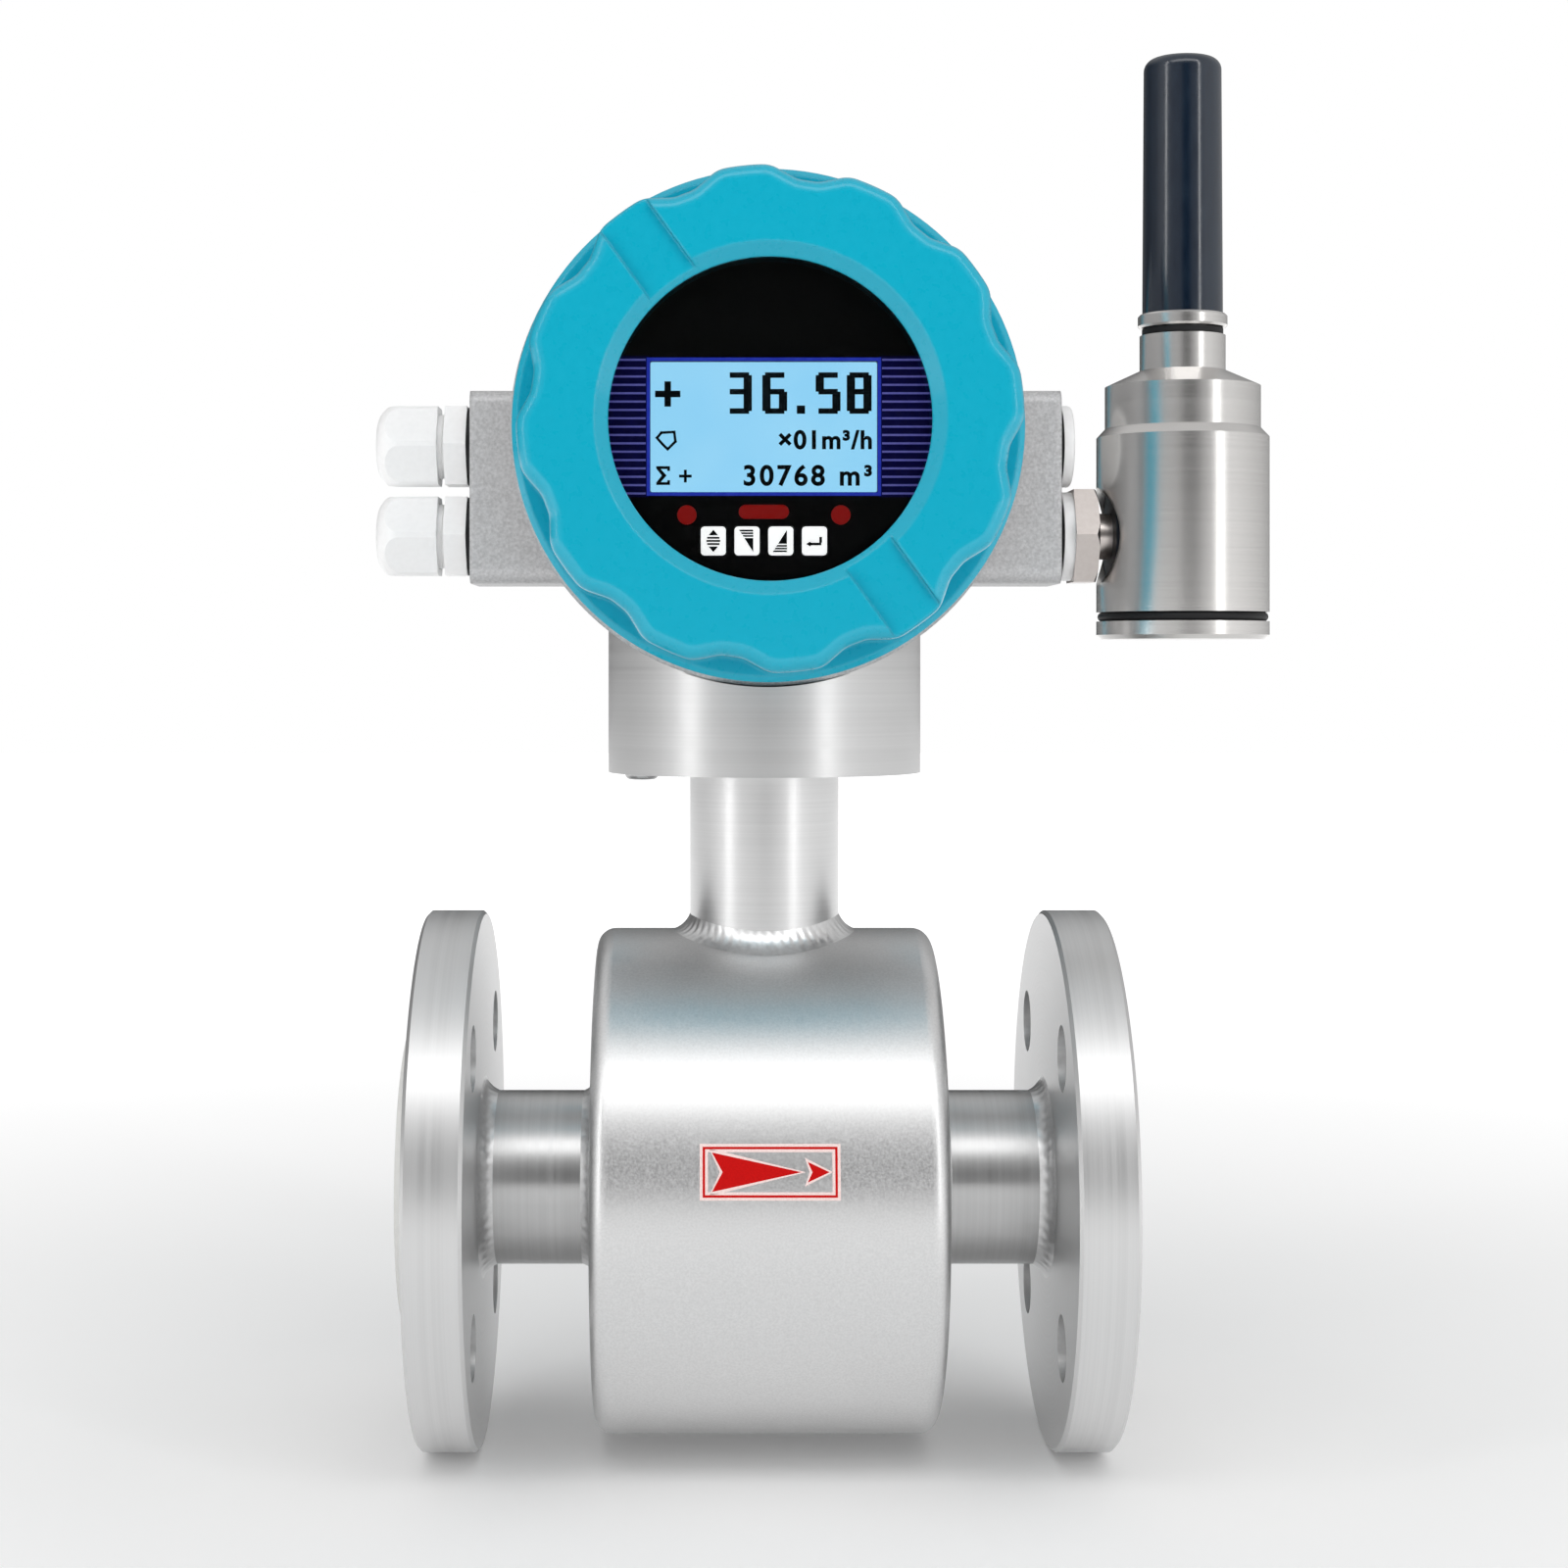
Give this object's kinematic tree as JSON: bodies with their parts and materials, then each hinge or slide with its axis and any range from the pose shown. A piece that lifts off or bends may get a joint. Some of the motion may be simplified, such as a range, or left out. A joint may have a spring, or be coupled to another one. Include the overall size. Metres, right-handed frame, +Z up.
{
  "type": "electromagnetic flow meter",
  "caption": "Flanged in-line flow meter: lined tube with coil drum, and on its neck a turning head with round display window, screwed covers, cable glands and radio module with antenna.",
  "frame": {"origin": "middle of the flow bore, half way between the two flange faces", "axes": "+X along the flow, from inlet to outlet; +Z up the neck; the display faces -Y"},
  "size_m": [0.2515, 0.15, 0.391],
  "materials": {
    "stainless": "brushed",
    "weld": "as welded, brushed",
    "ptfe": "smooth",
    "core_steel": "plain",
    "copper": "enamelled wire",
    "grey_paint": "fine textured powder coat",
    "blue_paint": "semi-gloss powder coat",
    "rubber": "matte",
    "glass": "polished",
    "aluminium": "turned",
    "circuit_board": "solder mask",
    "green_plastic": "moulded",
    "white_nylon": "moulded",
    "black_panel": "gloss",
    "red_lens": "gloss",
    "lcd": "backlit",
    "brass": "turned",
    "white_key": "moulded",
    "nickel": "nickel plated",
    "navy_plastic": "gloss"
  },
  "bodies": {
    "root": {"measuring_tube": "stainless", "tube_liner": "ptfe", "inlet_flange": "stainless", "outlet_flange": "stainless", "tube_weld_beads": "weld", "coil_drum_shell": "stainless", "drum_inlet_end": "stainless", "drum_outlet_end": "stainless", "neck_tube": "stainless", "neck_weld_bead": "weld", "swivel_flange": "stainless", "magnet_poles": "core_steel", "saddle_coils": "copper", "return_yoke": "core_steel", "electrodes": "stainless", "electrode_insulators": "ptfe", "electrode_nuts": "stainless"},
    "head": {"collar": "stainless", "lock_screw": "stainless", "housing": "grey_paint", "main_board": "circuit_board", "terminal_block": "green_plastic", "port_seals": "rubber", "display_panel": "black_panel", "sensor_eyes": "red_lens", "lcd_module": "lcd", "display_board": "circuit_board", "board_standoffs": "brass", "board_screws": "stainless", "upper_gland_body": "white_nylon", "lower_gland_body": "white_nylon", "module_adapter": "white_nylon", "module_lock_nut": "nickel"},
    "front_cover_seal": {"front_cover_seal": "rubber"},
    "front_cover": {"front_cover": "blue_paint", "window_gasket": "rubber", "window_glass": "glass", "glass_ring": "aluminium"},
    "rear_cover_seal": {"rear_cover_seal": "rubber"},
    "rear_cover": {"rear_cover": "blue_paint"},
    "key_menu": {"key_menu": "white_key"},
    "key_down": {"key_down": "white_key"},
    "key_up": {"key_up": "white_key"},
    "key_enter": {"key_enter": "white_key"},
    "upper_gland_insert": {"upper_gland_insert": "rubber"},
    "upper_gland_nut": {"upper_gland_nut": "white_nylon"},
    "lower_gland_insert": {"lower_gland_insert": "rubber"},
    "lower_gland_nut": {"lower_gland_nut": "white_nylon"},
    "blanking_plug_seal": {"blanking_plug_seal": "rubber"},
    "blanking_plug": {"blanking_plug": "white_nylon"},
    "module": {"module_stub": "nickel", "module_washer": "rubber", "module_body": "stainless", "module_card": "circuit_board"},
    "module_cap_seal": {"module_cap_seal": "rubber"},
    "module_cap": {"module_cap": "stainless"},
    "antenna_seal": {"antenna_seal": "rubber"},
    "antenna": {"antenna_ferrule": "stainless", "antenna_rod": "navy_plastic"}
  },
  "joints": [
    {"name": "head_turn", "type": "hinge", "parent": "root", "child": "head", "pos_m": [0, 0, 0.1175], "axis": [0, 0, 1], "range_deg": [-175, 175]},
    {"name": "front_cover_travel", "type": "slide", "parent": "head", "child": "front_cover_seal", "axis": [0, -1, 0], "range_m": [0, 0.01601]},
    {"name": "front_cover_turn", "type": "hinge", "parent": "front_cover_seal", "child": "front_cover", "pos_m": [0, -0.045, 0.208], "axis": [0, -1, 0], "range_deg": [0, 2880]},
    {"name": "rear_cover_travel", "type": "slide", "parent": "head", "child": "rear_cover_seal", "axis": [0, 1, 0], "range_m": [0, 0.01601]},
    {"name": "rear_cover_turn", "type": "hinge", "parent": "rear_cover_seal", "child": "rear_cover", "pos_m": [0, 0.045, 0.208], "axis": [0, 1, 0], "range_deg": [0, 2880]},
    {"name": "key_menu_press", "type": "slide", "parent": "head", "child": "key_menu", "axis": [0, 1, 0], "range_m": [0, 0.0005], "stiffness_N_per_m": 2000},
    {"name": "key_down_press", "type": "slide", "parent": "head", "child": "key_down", "axis": [0, 1, 0], "range_m": [0, 0.0005], "stiffness_N_per_m": 2000},
    {"name": "key_up_press", "type": "slide", "parent": "head", "child": "key_up", "axis": [0, 1, 0], "range_m": [0, 0.0005], "stiffness_N_per_m": 2000},
    {"name": "key_enter_press", "type": "slide", "parent": "head", "child": "key_enter", "axis": [0, 1, 0], "range_m": [0, 0.0005], "stiffness_N_per_m": 2000},
    {"name": "upper_gland_travel", "type": "slide", "parent": "head", "child": "upper_gland_insert", "axis": [-1, 0, 0], "range_m": [0, 0.01051]},
    {"name": "upper_gland_turn", "type": "hinge", "parent": "upper_gland_insert", "child": "upper_gland_nut", "pos_m": [-0.095, 0, 0.2063], "axis": [-1, 0, 0], "range_deg": [0, 2520]},
    {"name": "lower_gland_travel", "type": "slide", "parent": "head", "child": "lower_gland_insert", "axis": [-1, 0, 0], "range_m": [0, 0.01051]},
    {"name": "lower_gland_turn", "type": "hinge", "parent": "lower_gland_insert", "child": "lower_gland_nut", "pos_m": [-0.095, 0, 0.1809], "axis": [-1, 0, 0], "range_deg": [0, 2520]},
    {"name": "blanking_plug_travel", "type": "slide", "parent": "head", "child": "blanking_plug_seal", "axis": [1, 0, 0], "range_m": [0, 0.00721]},
    {"name": "blanking_plug_turn", "type": "hinge", "parent": "blanking_plug_seal", "child": "blanking_plug", "pos_m": [0.083, 0, 0.2063], "axis": [1, 0, 0], "range_deg": [0, 1728]},
    {"name": "module_swivel", "type": "hinge", "parent": "head", "child": "module", "pos_m": [0.09, 0, 0.1809], "axis": [1, 0, 0], "range_deg": [-90, 90]},
    {"name": "module_cap_travel", "type": "slide", "parent": "module", "child": "module_cap_seal", "axis": [0, 0, -1], "range_m": [0, 0.01201]},
    {"name": "module_cap_turn", "type": "hinge", "parent": "module_cap_seal", "child": "module_cap", "pos_m": [0.1183, 0, 0.157], "axis": [0, 0, -1], "range_deg": [0, 2880]},
    {"name": "antenna_travel", "type": "slide", "parent": "module", "child": "antenna_seal", "axis": [0, 0, 1], "range_m": [0, 0.01051]},
    {"name": "antenna_turn", "type": "hinge", "parent": "antenna_seal", "child": "antenna", "pos_m": [0.1183, 0, 0.24], "axis": [0, 0, 1], "range_deg": [0, 2520]}
  ],
  "couplings": [
    {"joint": "front_cover_travel", "follows": "front_cover_turn", "m_per_rad": 0.00031831},
    {"joint": "rear_cover_travel", "follows": "rear_cover_turn", "m_per_rad": 0.00031831},
    {"joint": "upper_gland_travel", "follows": "upper_gland_turn", "m_per_rad": 0.00023873},
    {"joint": "lower_gland_travel", "follows": "lower_gland_turn", "m_per_rad": 0.00023873},
    {"joint": "blanking_plug_travel", "follows": "blanking_plug_turn", "m_per_rad": 0.00023873},
    {"joint": "module_cap_travel", "follows": "module_cap_turn", "m_per_rad": 0.00023873},
    {"joint": "antenna_travel", "follows": "antenna_turn", "m_per_rad": 0.00023873}
  ]
}
